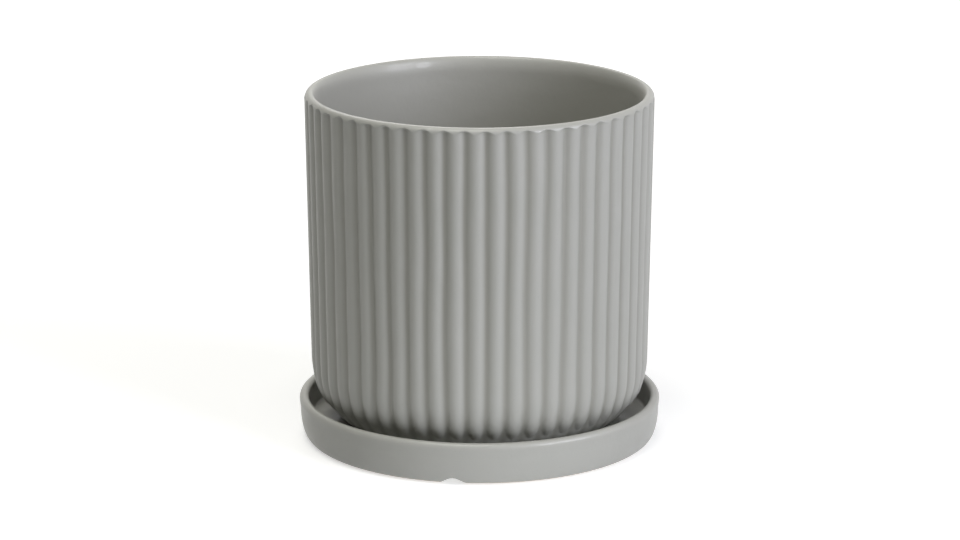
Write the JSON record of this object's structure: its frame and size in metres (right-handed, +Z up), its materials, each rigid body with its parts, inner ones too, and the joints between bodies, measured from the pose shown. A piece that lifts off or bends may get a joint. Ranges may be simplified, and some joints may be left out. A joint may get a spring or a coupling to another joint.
{
  "type": "cachepot",
  "caption": "Round ribbed stoneware cachepot with a plain round lip and a curved base, standing in its own shallow saucer; the pot lifts out and a stopper closes its drain hole.",
  "frame": {"origin": "on the surface that the saucer's three feet stand on, under the pot's axis", "axes": "+Z up along the pot's axis; -Y is the front that the picture shows, with the vent notch a little to its left; +X to the right"},
  "size_m": [0.1572, 0.1572, 0.1526],
  "materials": {
    "glazed_stoneware": "satin warm grey glaze, slightly pooled in the grooves, bare on the foot rings",
    "stopper_rubber": "matt moulded dark grey rubber",
    "foot_rubber": "matt mid grey rubber"
  },
  "bodies": {
    "saucer": {"saucer": "glazed_stoneware", "saucer_foot_1": "foot_rubber", "saucer_foot_2": "foot_rubber", "saucer_foot_3": "foot_rubber"},
    "pot": {"pot": "glazed_stoneware"},
    "stopper": {"drain_plug": "stopper_rubber"}
  },
  "joints": [
    {"name": "pot_lift", "type": "slide", "parent": "saucer", "child": "pot", "axis": [0, 0, 1], "range_m": [0, 0.08]},
    {"name": "plug_pull", "type": "slide", "parent": "pot", "child": "stopper", "axis": [0, 0, 1], "range_m": [0, 0.15]}
  ]
}
